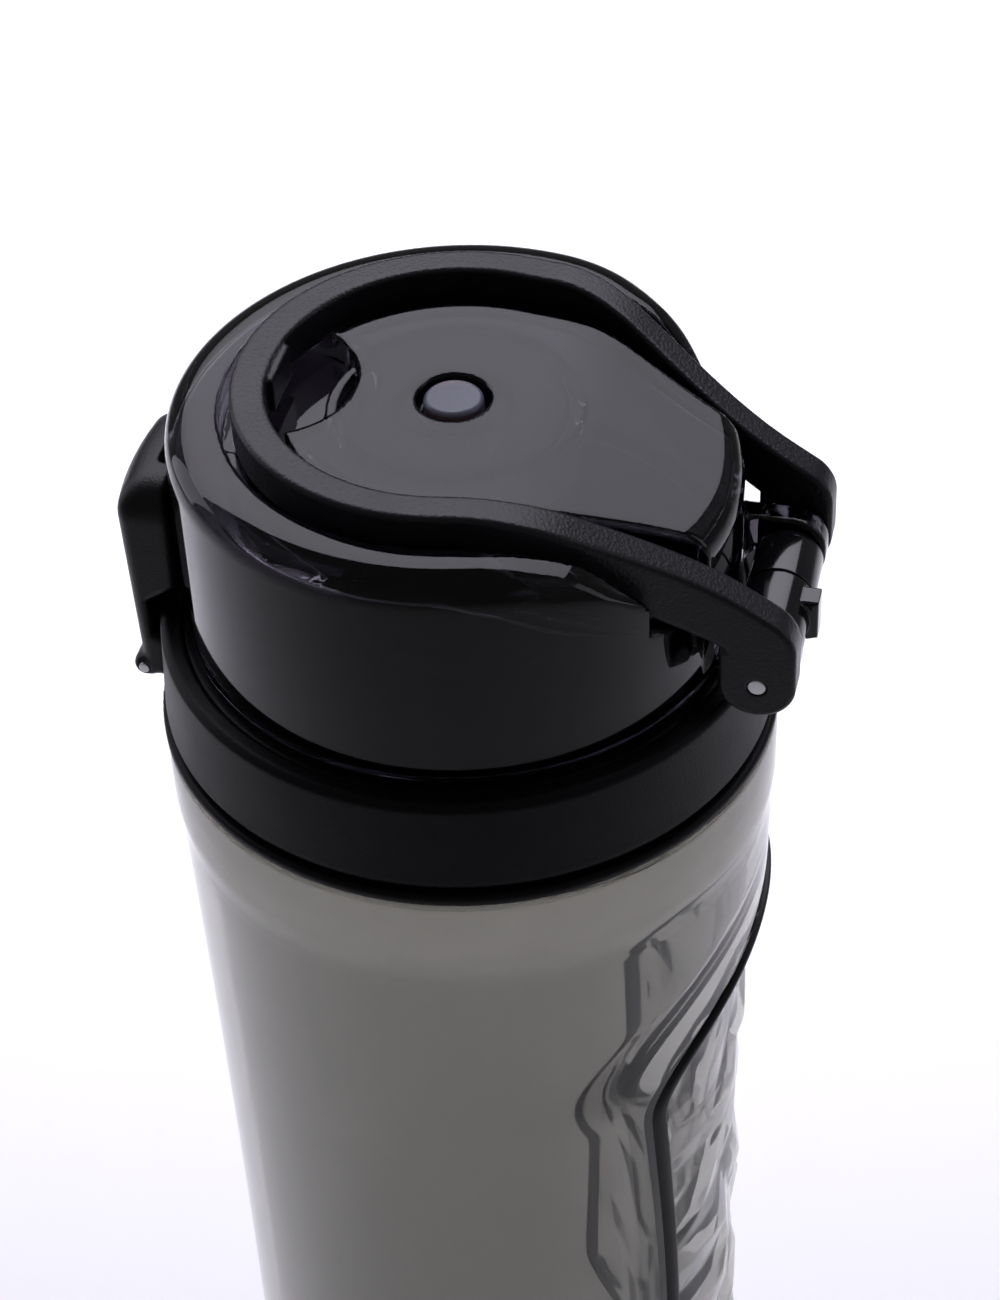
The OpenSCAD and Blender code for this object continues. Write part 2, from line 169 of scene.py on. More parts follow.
def pear_points():
    """The outline shared by the loop, its groove and the island. The arms run on past the hinge."""
    ys = np.arange(-LOOP_R, 60, 0.25)
    ring = np.sqrt(np.maximum(LOOP_R ** 2 - ys ** 2, 0))
    joint = math.sqrt(LOOP_R ** 2 - 36)
    arm = joint + (ARM_X - joint) * smooth_step((ys - 6) / 30)
    half = np.where(ys < 6, ring, arm)
    weights = np.exp(-0.5 * (np.arange(-16, 17) / 6.0) ** 2)
    soft = np.convolve(np.pad(half, 16, mode="edge"), weights / weights.sum(), mode="valid")
    blend = smooth_step((ys + 4) / 8)
    half = half * (1 - blend) + soft * blend
    right = list(zip(half, ys))
    return right + [(-x, y) for x, y in reversed(right)]


pear = Outline(pear_points(), (-40, -40), (40, 52))


def arm_end():
    """The end of the loop's arm: a bend over the top, then round the pin."""
    tilt = math.atan(ARM_FALL)
    bend_y = PIN_Y + ARM_R - BEND_R
    bend_z = float(loop_roof(np.array(bend_y))) - BEND_R / math.cos(tilt)
    return arc(bend_y, bend_z, BEND_R, 90 - math.degrees(tilt), 0) + arc(PIN_Y, PIN_H, ARM_R, 0, -180, 32)


def profile(ys, roof, floor, end):
    top = [(y, float(roof(np.array(y)))) for y in ys]
    low = [(y, float(floor(np.array(y)))) for y in reversed(ys)]
    return top + end + low


loop_side = Outline(
    profile(list(np.arange(-30, 34, 0.5)), loop_roof, loop_floor,
            arm_end() + [(PIN_Y - ARM_R, float(loop_floor(np.array(PIN_Y - ARM_R))))]),
    (-34, 8), (48, 52))
ear_side = Outline([(30.5, PIN_H + EAR_RISE + EAR_R)] + arc(PIN_Y, PIN_H + EAR_RISE, EAR_R, 90, 0, 24)
                   + arc(PIN_Y, PIN_H, EAR_R, 0, -180, 48) + [(30.5, PIN_H - 3)],
                   (22, 8), (50, 36), 0.1)


def rod(u, v, cu, cv, r):
    return np.hypot(u - cu, v - cv) - r


def loop_field(x, y, h):
    p = pear(x, y)
    band = np.maximum(p, -p - LOOP_W)
    ring = meet(band, loop_side(y, h), 0.55)
    tab = meet(np.maximum(np.abs(x) - 3.5, np.abs(y + LOOP_R - LOOP_W) - 1.0),
               np.maximum(h - LOOP_TOP + 0.6, LOOP_BOTTOM - h), 0.25)
    return cut(join(ring, tab, 0.5), rod(y, h, PIN_Y, PIN_H, BORE_R), 0.1)


def lid_field(x, y, h):
    r = np.hypot(x, y)
    p = pear(x, y)
    form = meet(r - LID_R, h - LID_TOP, SHOULDER)
    form = meet(form, (h - lid_roof(y)) / math.hypot(1, LID_FALL), 2.6)
    form = meet(form, LID_BOTTOM - h, 0.4)
    groove = np.maximum(np.maximum(p - 1.4, -p - LOOP_W - 1.4), loop_floor(y) - 0.4 - h)
    form = cut(form, groove, 0.45)
    form = cut(form, np.maximum(1.3 - p, (lip_roof(y) - h) / 1.2), 0.6)
    scoop = meet(np.maximum(p - 1.4, LOOP_BOTTOM - SCOOP_DEPTH - h), rod(x, y, 0, SCOOP_Y, SCOOP_R), 0.3)
    form = cut(form, scoop, 0.4)
    low_room = meet(r - LID_R + LID_WALL, h - loop_floor(y) + 2.2, 1.0)
    high_room = np.maximum(np.maximum(p + LOOP_W + 3.4, r - LID_R + LID_WALL), h - lid_roof(y) + 2.2)
    high_room = cut(high_room, rod(x, y, 0, SCOOP_Y, SCOOP_R + 2), 0.6)
    form = cut(form, join(low_room, high_room, 0.8), 0.3)
    ring = np.maximum(np.maximum(r - 14.4, 13.0 - r), np.maximum(h - LID_TOP + 2, SPOUT_TOP - 1.5 - h))
    boss = np.maximum(r - 6.5, np.maximum(h - LID_TOP + 1.9, SPOUT_TOP + 2.5 - h))
    form = join(form, np.minimum(ring, boss), 0.5)
    ears = meet(np.abs(np.abs(x) - EAR_OUT + EAR_T / 2) - EAR_T / 2, ear_side(y, h), 0.5)
    form = join(form, ears, 0.8)
    form = cut(form, np.maximum(r - SEAL_BORE, SPOUT_TOP - h), 0.2)
    form = cut(form, np.maximum(r - VENT_R, LID_TOP - 3 - h), 0.45)
    return cut(form, rod(y, h, PIN_Y, PIN_H, BORE_R), 0.15)


lever_side = Outline(
    [(35.5, LATCH_H - 1.2), (35.5, 9.4), (36.9, 10.2), (36.9, 15), (33.2, 17.5), (33.2, LEVER_TOP)]
    + arc(LEVER_R - LEVER_EDGE, LEVER_TOP - LEVER_EDGE, LEVER_EDGE, 90, 0)
    + [(LEVER_FOOT_R, LATCH_H), (LEVER_FOOT_R - 0.6, LATCH_H - 1.2)], (26, -4), (46, 38), 0.1)
lever_front = Outline(
    [(-LATCH_HALF_W, -6)]
    + arc(LEVER_CORNER - LATCH_HALF_W, LEVER_TOP - LEVER_CORNER, LEVER_CORNER, 180, 90)
    + arc(LATCH_HALF_W - LEVER_CORNER, LEVER_TOP - LEVER_CORNER, LEVER_CORNER, 90, 0)
    + [(LATCH_HALF_W, -6)], (-16, -8), (16, 38), 0.1)


def lever_field(x, y, h):
    form = join(lever_side(np.hypot(x, y), h), rod(y, h, LATCH_Y, LATCH_H, LATCH_BOSS_R), 0.5)
    form = meet(form, lever_front(x, h), 1.3)
    form = cut(form, rod(y, h, LATCH_Y, LATCH_H, LATCH_BORE), 0.1)
    form = cut(form, np.maximum(np.abs(x) - LUG_X - 0.35, h - LATCH_H - 4.4), 0.2)
    pocket = meet(meet(np.abs(x) - 3, -35 - y, 0.8), LEVER_TOP - 3.2 - h, 0.6)
    return cut(form, pocket, 0.5)


collar_side = Outline(
    [(36.2, 2.3), (36.5, 3), (35.9, LEDGE - 0.7), (35.2, LEDGE), (33.4, LEDGE),
     (33.4, LEDGE - 1.1), (SKIRT_R - 0.4, LEDGE - 1.3), (SKIRT_R - 0.4, 2.3)], (28, -4), (44, 22), 0.05)


def collar_field(x, y, h):
    form = collar_side(np.hypot(x, y), h)
    notch = np.maximum(np.maximum(np.abs(x) - LATCH_HALF_W - 0.4, y + 32), h - LEDGE + 4)
    seat = np.maximum(np.maximum(-0.8 - x, x - KNUCKLE_X - 0.4), np.maximum(33.1 - y, LEDGE - 0.36 - h))
    return np.maximum(np.maximum(form, -notch), -seat)


core_side = Outline(
    [(SKIRT_BORE, 0), (FLANGE_R - 0.3, 0), (FLANGE_R, 0.3), (FLANGE_R, 1.2), (FLANGE_R - 0.4, 1.5),
     (SKIRT_R - 0.5, 1.5), (SKIRT_R - 0.5, LEDGE - 1.4), (33.3, LEDGE - 1.2), (33.3, DECK_TOP),
     (-4, DECK_TOP), (-4, DECK_TOP - DECK_T), (SKIRT_BORE, DECK_TOP - DECK_T)],
    (-6, -4), (44, 22), 0.1)
knuckle_foot = Outline(
    [(33.2, LEDGE - 0.4), (34.6, LEDGE - 0.4), (39.6, PIN_H - 2.6), (PIN_Y, PIN_H), (33.2, PIN_H - 2)],
    (26, 6), (48, 30), 0.1)
stop_side = Outline(
    [(PIN_Y + 2, PIN_H - 3.4), (PIN_Y + 5, PIN_H - 2.4),
     (PIN_Y + 5, PIN_H + 2.8), (PIN_Y + 2, PIN_H + 2.8)],
    (32, 8), (50, 32), 0.1)


def thread_lugs(x, y, h):
    """Short ribs inside the skirt, on the neck's helix."""
    r = np.hypot(x, y)
    turn = np.degrees(np.arctan2(y, x))
    near = np.full(r.shape, 1e9)
    for i in range(11):
        middle = 40 * i + 9
        off = (turn - middle + 180) % 360 - 180
        rise = 1.6 + THREAD_PITCH / 2 + THREAD_PITCH * middle / 360
        lug = np.maximum(np.abs(off) * math.radians(1) * SKIRT_BORE - 4.7, np.abs(h - rise) - 0.55)
        near = np.minimum(near, np.maximum(lug, np.maximum(NECK_R + 0.5 - r, r - SKIRT_BORE - 0.4)))
    return near


def core_field(x, y, h):
    r = np.hypot(x, y)
    form = join(core_side(r, h), thread_lugs(x, y, h), 0.1)
    lug = join(rod(y, h, LATCH_Y, LATCH_H, LUG_R),
               np.maximum(np.abs(h - LATCH_H) - 1.3, np.abs(y + 35.5) - 2.4), 0.2)
    form = join(form, meet(lug, np.abs(x) - LUG_X, 0.2), 0.1)
    slot = np.maximum(np.abs(x) - 2.3, np.maximum(y + SKIRT_R + 1.2, np.abs(h - LATCH_H) - 4))
    form = cut(form, slot, 0.1)
    form = cut(form, rod(y, h, LATCH_Y, LATCH_H, LATCH_BORE), 0.1)
    form = np.maximum(form, 10.5 - r)
    return np.maximum(form, 1.5 - np.hypot(x, y - VENT_Y))


def knuckle_field(x, y, h):
    block = join(rod(y, h, PIN_Y, PIN_H, BARREL_R), knuckle_foot(y, h), 0.6)
    form = meet(block, np.abs(x - 3.6) - 4.0, 0.3)
    form = join(form, meet(stop_side(y, h), np.abs(x - 1.9) - 1.5, 0.4), 0.3)
    return cut(form, rod(y, h, PIN_Y, PIN_H, BORE_R), 0.1)


# ---------------------------------------------------------------- meshes

def net(field, low, high, step):
    """Points and quads of a field's surface. The points are then moved onto it exactly."""
    axes = [np.arange(a - step, b + 2 * step, step) for a, b in zip(low, high)]
    grid = np.meshgrid(*axes, indexing="ij")
    value = field(*grid)
    inside = value < 0
    cells = [n - 1 for n in value.shape]
    total = np.zeros(cells + [3])
    count = np.zeros(cells)
    quads = []
    for axis in range(3):
        a = [slice(None)] * 3
        b = [slice(None)] * 3
        a[axis], b[axis] = slice(0, -1), slice(1, None)
        a, b = tuple(a), tuple(b)
        hit = np.argwhere(inside[a] != inside[b])
        start = tuple(hit.T)
        ahead = hit.copy()
        ahead[:, axis] += 1
        va, vb = value[start], value[tuple(ahead.T)]
        at = np.stack([axes[k][hit[:, k]] for k in range(3)], axis=1)
        at[:, axis] += step * va / (va - vb)
        others = [k for k in range(3) if k != axis]
        around = []
        for du, dv in ((-1, -1), (0, -1), (0, 0), (-1, 0)):
            cell = hit.copy()
            cell[:, others[0]] += du
            cell[:, others[1]] += dv
            around.append(cell)
            key = tuple(cell.T)
            np.add.at(total, key, at)
            np.add.at(count, key, 1)
        flip = inside[start] ^ (axis == 1)
        corners = np.stack([np.ravel_multi_index(tuple(c.T), cells) for c in around], axis=1)
        quads.append(np.where(flip[:, None], corners, corners[:, ::-1]))
    quads = np.concatenate(quads)
    used, quads = np.unique(quads, return_inverse=True)
    quads = quads.reshape(-1, 4)
    points = total.reshape(-1, 3)[used] / count.reshape(-1)[used][:, None]
    tiny = 0.02
    for _ in range(4):
        x, y, z = points.T
        here = field(x, y, z)
        slope = np.stack([(field(x + tiny, y, z) - field(x - tiny, y, z)),
                          (field(x, y + tiny, z) - field(x, y - tiny, z)),
                          (field(x, y, z + tiny) - field(x, y, z - tiny))], axis=1) / (2 * tiny)
        size = np.maximum((slope ** 2).sum(axis=1), 0.3)
        move = -(here / size)[:, None] * slope
        points = points + np.clip(move, -step / 2, step / 2)
    return points, quads[:, ::-1]


def mesh_piece(name, points, faces, material, body, stands_for, lift=CAP):
    """One smooth-shaded mesh that replaces CAD nodes and rides on a body."""
    points = np.array(points, float)
    points[:, 2] += lift
    fan = np.array([(f[0], f[k], f[k + 1]) for f in faces for k in range(1, len(f) - 1)])
    a, b, c = (points[fan[:, k]] for k in range(3))
    if (a * np.cross(b, c)).sum() < 0:
        faces = [tuple(reversed(f)) for f in faces]
    mesh = bpy.data.meshes.new(name)
    mesh.from_pydata((points * MM).tolist(), [], [tuple(int(i) for i in f) for f in faces])
    mesh.validate()
    mesh.shade_smooth()
    piece = bpy.data.objects.new(name, mesh)
    bpy.context.scene.collection.objects.link(piece)
    mesh.materials.append(material)
    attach(piece, body)
    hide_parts(stands_for)
    return piece


def carve(name, field, low, high, step, material, body, stands_for):
    points, quads = net(field, low, high, step)
    return mesh_piece(name, points, quads, material, body, stands_for)


def rounded(points, radius, steps=4):
    """A closed outline with its corners rounded, as much as its sides allow."""
    points = [np.array(p, float) for p in points]
    out = []
    for i, here in enumerate(points):
        before, after = points[i - 1], points[(i + 1) % len(points)]
        la, lb = np.linalg.norm(before - here), np.linalg.norm(after - here)
        if la < 1e-6 or lb < 1e-6 or (abs(here[0]) < 1e-6):
            out.append(here)
            continue
        reach = min(radius, 0.45 * la, 0.45 * lb)
        a, b = here + (before - here) / la * reach, here + (after - here) / lb * reach
        for k in range(steps + 1):
            t = k / steps
            out.append((1 - t) ** 2 * a + 2 * t * (1 - t) * here + t * t * b)
    return out


def lathe(outline, segments=128):
    """Points and faces of a closed outline in (radius, height), turned about Z."""
    points, faces = [], []
    n = len(outline)
    for s in range(segments):
        a = 2 * math.pi * s / segments
        for r, z in outline:
            points.append((max(r, 0.0) * math.cos(a), max(r, 0.0) * math.sin(a), z))
    for s in range(segments):
        t = (s + 1) % segments
        for k in range(n):
            m = (k + 1) % n
            if outline[k][0] < 1e-6 and outline[m][0] < 1e-6:
                continue
            faces.append((s * n + k, t * n + k, t * n + m, s * n + m))
    return points, faces


def weld(piece, dist=1e-6):
    """Merges points that meet and turns the faces outwards."""
    bm = bmesh.new()
    bm.from_mesh(piece.data)
    bmesh.ops.remove_doubles(bm, verts=bm.verts, dist=dist)
    bmesh.ops.recalc_face_normals(bm, faces=bm.faces)
    bm.to_mesh(piece.data)
    bm.free()
    piece.data.shade_smooth()


def turned(name, outline, material, body, stands_for, radius=0.25, place=None, segments=128):
    """A turned piece. place is a matrix in millimetres; without one the axis is the bottle's."""
    points, faces = lathe(rounded(outline, radius), segments)
    if place is not None:
        points = [place @ Vector(p) for p in points]
    piece = mesh_piece(name, points, faces, material, body, stands_for)
    weld(piece)
    return piece


def along_x(y, h):
    """Puts a turned piece's axis along X through (y, h)."""
    return Matrix.Translation((0, y, h)) @ Matrix.Rotation(math.radians(90), 4, "Y")


def tube(path, radius, ring=10):
    """Points and faces of a closed-ended round tube along a path."""
    path = [Vector(p) for p in path]
    points, faces = [], []
    side = Vector((0, 0, 1))
    for i, here in enumerate(path):
        ahead = (path[min(i + 1, len(path) - 1)] - path[max(i - 1, 0)]).normalized()
        side = (side - ahead * side.dot(ahead)).normalized()
        up = ahead.cross(side)
        for k in range(ring):
            a = 2 * math.pi * k / ring
            points.append(here + radius * (side * math.cos(a) + up * math.sin(a)))
    for i in range(len(path) - 1):
        for k in range(ring):
            m = (k + 1) % ring
            faces.append((i * ring + k, i * ring + m, (i + 1) * ring + m, (i + 1) * ring + k))
    faces.append(tuple(reversed(range(ring))))
    faces.append(tuple((len(path) - 1) * ring + k for k in range(ring)))
    return points, faces


def coil_path(coil_r, x0, x1, turns, y, h):
    steps = int(turns * 32)
    return [(x0 + (x1 - x0) * i / steps, y + coil_r * math.cos(2 * math.pi * i / 32),
             h + coil_r * math.sin(2 * math.pi * i / 32)) for i in range(steps + 1)]


# ---------------------------------------------------------------- materials

def material(name, color, roughness, grain=0.0, grain_size=1.0, leather=0.0, **inputs):
    """A principled material. Its roughness and relief vary procedurally in the piece's own space."""
    made = bpy.data.materials.new(name)
    made.use_nodes = True
    tree = made.node_tree
    shader = tree.nodes["Principled BSDF"]
    shader.inputs["Base Color"].default_value = (*color, 1)
    shader.inputs["Roughness"].default_value = roughness
    for key, value in inputs.items():
        shader.inputs[key.replace("_", " ")].default_value = value
    where = tree.nodes.new("ShaderNodeTexCoord")

    def noise(size, detail):
        node = tree.nodes.new("ShaderNodeTexNoise")
        node.inputs["Scale"].default_value = 1 / (size * MM)
        node.inputs["Detail"].default_value = detail
        tree.links.new(where.outputs["Object"], node.inputs["Vector"])
        return node.outputs["Fac"]

    wear = tree.nodes.new("ShaderNodeMapRange")
    wear.inputs["To Min"].default_value = roughness * 0.85
    wear.inputs["To Max"].default_value = min(roughness * 1.2 + 0.01, 1)
    tree.links.new(noise(9.0, 3.0), wear.inputs["Value"])
    tree.links.new(wear.outputs["Result"], shader.inputs["Roughness"])
    relief = None
    if leather:
        cells = tree.nodes.new("ShaderNodeTexVoronoi")
        cells.feature = "SMOOTH_F1"
        cells.inputs["Scale"].default_value = 1 / (grain_size * MM)
        bent = tree.nodes.new("ShaderNodeVectorMath")
        bent.operation = "ADD"
        warp = tree.nodes.new("ShaderNodeTexNoise")
        warp.inputs["Scale"].default_value = 0.6 / (grain_size * MM)
        tree.links.new(where.outputs["Object"], warp.inputs["Vector"])
        small = tree.nodes.new("ShaderNodeVectorMath")
        small.operation = "SCALE"
        small.inputs["Scale"].default_value = 0.9 * grain_size * MM
        tree.links.new(warp.outputs["Color"], small.inputs[0])
        tree.links.new(where.outputs["Object"], bent.inputs[0])
        tree.links.new(small.outputs["Vector"], bent.inputs[1])
        tree.links.new(bent.outputs["Vector"], cells.inputs["Vector"])
        relief = cells.outputs["Distance"]
        strength = leather
    elif grain:
        relief = noise(grain_size, 4.0)
        strength = grain
    if relief is not None:
        bump = tree.nodes.new("ShaderNodeBump")
        bump.inputs["Strength"].default_value = strength
        bump.inputs["Distance"].default_value = 0.15 * MM
        tree.links.new(relief, bump.inputs["Height"])
        tree.links.new(bump.outputs["Normal"], shader.inputs["Normal"])
    return made


smoked_body = material("smoked_body", (0.35, 0.345, 0.318), 0.02, Transmission_Weight=1.0, IOR=1.46)
smoked_lid = material("smoked_lid", (0.06, 0.056, 0.068), 0.03, Transmission_Weight=1.0, IOR=1.33,
                      Specular_IOR_Level=0.5)
rim_rubber = material("rim_rubber", (0.006, 0.006, 0.007), 0.4, grain=0.1, grain_size=0.4,
                      Specular_IOR_Level=0.25)
cap_plastic = material("cap_plastic", (0.0035, 0.003, 0.0045), 0.42, grain=0.35, grain_size=0.22,
                       Specular_IOR_Level=0.12)
gloss_black = material("gloss_black", (0.004, 0.004, 0.005), 0.1, Specular_IOR_Level=0.45)
satin_black = material("satin_black", (0.004, 0.0035, 0.005), 0.36, grain=0.4, grain_size=0.3,
                       Specular_IOR_Level=0.25)
leather_black = material("leather_black", (0.007, 0.006, 0.009), 0.36, leather=0.35, grain_size=0.36,
                         Specular_IOR_Level=0.3)
silicone = material("silicone", (0.55, 0.56, 0.6), 0.35, Subsurface_Weight=0.4)
seal_blue = material("seal_blue", (0.055, 0.06, 0.095), 0.38, grain=0.3, grain_size=0.5,
                     Subsurface_Weight=0.3)
steel = material("steel", (0.62, 0.62, 0.64), 0.28, grain=0.2, grain_size=0.3, Metallic=1.0)

# ---------------------------------------------------------------- bottle body

GRIP_SPRING = CAP - GRIP_DROP


def grip_outline():
    """Half of the grip's outline, from the dome down to the bottom edge, in (across, z)."""
    top = [(GRIP_HALF_W * math.sin(a), GRIP_SPRING + GRIP_DOME * math.cos(a))
           for a in np.linspace(0, math.pi / 2, 46)]
    low, high = GRIP_BOTTOM + GRIP_CORNER, GRIP_SPRING
    flank = [(GRIP_HALF_W - GRIP_TAPER * math.sin(math.pi * i / 24), high + (low - high) * i / 24)
             for i in range(1, 24)]
    foot = arc(GRIP_HALF_W - GRIP_CORNER, GRIP_BOTTOM + GRIP_CORNER, GRIP_CORNER, 0, -90)
    return top + flank + foot


half_grip = grip_outline()
grip_points = half_grip + [(-x, z) for x, z in reversed(half_grip) if x > 1e-6]
grip_edge = Outline(grip_points, (-42, 30), (42, 190), 0.25)


def across_grip(angle, r):
    """Distance across the grip of a point at this azimuth, and whether it is on the grip's side."""
    off = (angle - math.pi / 2 - GRIP_TURN + math.pi) % (2 * math.pi) - math.pi
    return -r * np.sin(off), np.abs(off) < math.pi / 2


def gem(u, v):
    """Flat facets: heights set at random on a jittered triangular lattice and joined by planes."""
    rng = np.random.default_rng(7)
    cols, rows = 22, 42
    du, dv = GEM_SIZE, GEM_SIZE * 0.866
    ci, ri = np.meshgrid(np.arange(cols), np.arange(rows), indexing="ij")
    pu = (ci - cols / 2 + 0.5 * (ri % 2)) * du + rng.uniform(-GEM_JITTER, GEM_JITTER, ci.shape) * GEM_SIZE
    pv = 30 + ri * dv + rng.uniform(-GEM_JITTER, GEM_JITTER, ci.shape) * GEM_SIZE
    ph = rng.uniform(0, GEM_DEPTH, ci.shape)
    out = np.zeros(u.shape)
    for i in range(cols - 1):
        for j in range(rows - 1):
            near, far = ((i, j), (i + 1, j)), ((i, j + 1), (i + 1, j + 1))
            if j % 2:
                tris = (near[0], near[1], far[1]), (near[0], far[1], far[0])
            else:
                tris = (near[0], near[1], far[0]), (near[1], far[1], far[0])
            for t in tris:
                (au, av, ah), (bu, bv, bh), (cu, cv, ch) = [(pu[q], pv[q], ph[q]) for q in t]
                area = (bu - au) * (cv - av) - (cu - au) * (bv - av)
                box = ((u >= min(au, bu, cu)) & (u <= max(au, bu, cu))
                       & (v >= min(av, bv, cv)) & (v <= max(av, bv, cv)))
                if not box.any():
                    continue
                uu, vv = u[box], v[box]
                wb = ((uu - au) * (cv - av) - (cu - au) * (vv - av)) / area
                wc = ((bu - au) * (vv - av) - (uu - au) * (bv - av)) / area
                wa = 1 - wb - wc
                inside = (wa >= -1e-6) & (wb >= -1e-6) & (wc >= -1e-6)
                now = out[box]
                now[inside] = (wa * ah + wb * bh + wc * ch)[inside]
                out[box] = now
    return out


def build_body():
    """The bottle as one wall, outside then inside, with the grip pressed into its back."""
    segments = 460
    angles = 2 * math.pi * np.arange(segments) / segments
    foot = [(0.01, 1.2), (12, 1.2), (24, 0.9), (27.5, 0.2), (28.6, 0.0), (30.2, 0.0)]
    foot += [(float(body_r(FOOT_ROUND)) - FOOT_ROUND * (1 - math.sin(a)), FOOT_ROUND * (1 - math.cos(a)))
             for a in np.linspace(0.5, math.pi / 2, 8)]
    walls = [(float(body_r(z)), z) for z in np.arange(4.1, GRIP_END - 1.2, 0.5)]
    t = np.linspace(0, 1, 9)
    step = list(zip(END_R + (BAND_R - END_R) * smooth_step(t), GRIP_END - 1.0 + (BAND_STEP + 1.0) * t))
    band = rounded([(BAND_R, CAP - BAND_H + 0.3), (BAND_R, CAP - 0.4), (NECK_R, CAP - 0.4),
                    (NECK_R, CAP + NECK_TOP), (NECK_BORE, CAP + NECK_TOP)], 0.7)[5:-5]
    outer = foot + walls + step + [tuple(p) for p in band]
    inner = [(NECK_BORE, CAP + NECK_TOP - 0.6), (NECK_BORE, CAP - 3.4)]
    t = np.linspace(0, 1, 14)[1:]
    inner += list(zip(NECK_BORE + (END_R - WALL - NECK_BORE) * smooth_step(t),
                      CAP - 3.4 + (GRIP_END - CAP + 3.4) * t))
    inner += [(float(body_r(z)) - WALL, z) for z in np.arange(GRIP_END - 1, 9, -1.0)]
    inner += [(float(body_r(8)) - WALL - 5 * (1 - math.cos(a)), 9 - 5 * math.sin(a))
              for a in np.linspace(0.2, math.pi / 2, 6)]
    inner += [(14, 4.2), (0.01, 4.6)]
    outline = np.array(outer + inner)
    n_outer = len(outer)
    r = np.repeat(outline[:, 0][:, None], segments, axis=1)
    z = np.repeat(outline[:, 1][:, None], segments, axis=1)
    a = np.repeat(angles[None, :], len(outline), axis=0)
    is_outer = (np.arange(len(outline)) < n_outer)[:, None]
    # The inside is laid out by the outer radius, so that its step stays under the outer one.
    across, near = across_grip(a, np.where(is_outer, r, r + WALL))
    edge = np.where(near, grip_edge(across, z), SWELL_START)
    recess = smooth_step((RECESS_START - edge) / RECESS_RUN)
    facets = gem(across, z) * smooth_step((FACET_START - edge) / FACET_RUN)
    swell = smooth_step((SWELL_START - edge) / SWELL_RUN)
    in_walls = (z > 20) & (z < GRIP_END)
    r = r - np.where(is_outer & in_walls, RECESS * recess - facets, 0)
    r = r - np.where(~is_outer & in_walls, INNER_RECESS * swell, 0)
    points = np.stack([r * np.cos(a), r * np.sin(a), z], axis=2).reshape(-1, 3)
    rows = len(outline)
    k, s = np.meshgrid(np.arange(rows - 1), np.arange(segments), indexing="ij")
    t = (s + 1) % segments
    quads = np.stack([k * segments + s, k * segments + t, (k + 1) * segments + t, (k + 1) * segments + s],
                     axis=2).reshape(-1, 4)
    ends = [tuple(reversed(range(segments))), tuple((rows - 1) * segments + i for i in range(segments))]
    faces = list(map(tuple, quads)) + ends
    weld(mesh_piece("body_shell", points, faces, smoked_body, "bottle", "bottle_body", 0))


build_body()

thread_steps = int(THREAD_TURNS * 60)
thread = []
for i in range(thread_steps + 1):
    a = 2 * math.pi * i / 60
    fade = min(1.0, i / 6, (thread_steps - i) / 6)
    crest = NECK_R + (THREAD_R - NECK_R) * max(fade, 0.02)
    for rr, dz in ((NECK_R - 0.2, -0.8), (crest, -0.35), (crest, 0.35), (NECK_R - 0.2, 0.8)):
        thread.append((rr * math.cos(a), rr * math.sin(a), 1.6 + THREAD_PITCH * i / 60 + dz))
thread_faces = [(4 * i + k, 4 * (i + 1) + k, 4 * (i + 1) + (k + 1) % 4, 4 * i + (k + 1) % 4)
                for i in range(thread_steps) for k in range(4)]
thread_faces += [(3, 2, 1, 0), tuple(4 * thread_steps + k for k in range(4))]
weld(mesh_piece("neck_thread", thread, thread_faces, smoked_body, "bottle", "bottle_body"))


def build_rim():
    """The moulded bead round the grip, with a rounded outer face, seated in the recess's edge."""
    inset = RIM_W / 2
    closed = np.array(grip_points)
    seg = np.linalg.norm(np.roll(closed, -1, axis=0) - closed, axis=1)
    along = np.concatenate([[0], np.cumsum(seg)])
    closed = np.vstack([closed, closed[:1]])
    steps = int(along[-1] / 0.8)
    at = np.linspace(0, along[-1], steps, endpoint=False)
    path = np.stack([np.interp(at, along, closed[:, 0]), np.interp(at, along, closed[:, 1])], axis=1)
    for _ in range(4):
        path = (np.roll(path, 1, axis=0) + 2 * path + np.roll(path, -1, axis=0)) / 4
    ahead = np.roll(path, -1, axis=0) - np.roll(path, 1, axis=0)
    ahead /= np.linalg.norm(ahead, axis=1)[:, None]
    inward = np.stack([-ahead[:, 1], ahead[:, 0]], axis=1)
    if grip_edge(*(path[:1] + inward[:1] * 2).T)[0] > 0:
        inward = -inward
    half_w = inset - 0.05
    crest = RIM_PROUD - 0.05
    section = rounded([(-half_w, -RIM_FOOT), (half_w, -RIM_FOOT), (half_w, crest), (-half_w, crest)], 0.62, 5)
    points, faces = [], []
    n = len(section)
    for (u, v), (iu, iv) in zip(path, inward):
        for s, out in section:
            x, z = u + iu * (inset + s), v + iv * (inset + s)
            r = float(body_r(z)) + out
            y = math.sqrt(max(r * r - x * x, 1))
            c, d = math.cos(GRIP_TURN), math.sin(GRIP_TURN)
            points.append((x * c - y * d, x * d + y * c, z))
    for i in range(len(path)):
        j = (i + 1) % len(path)
        faces += [(i * n + k, j * n + k, j * n + (k + 1) % n, i * n + (k + 1) % n) for k in range(n)]
    weld(mesh_piece("grip_bead", points, faces, rim_rubber, "bottle", "grip_rim", 0))


build_rim()

# ---------------------------------------------------------------- cap

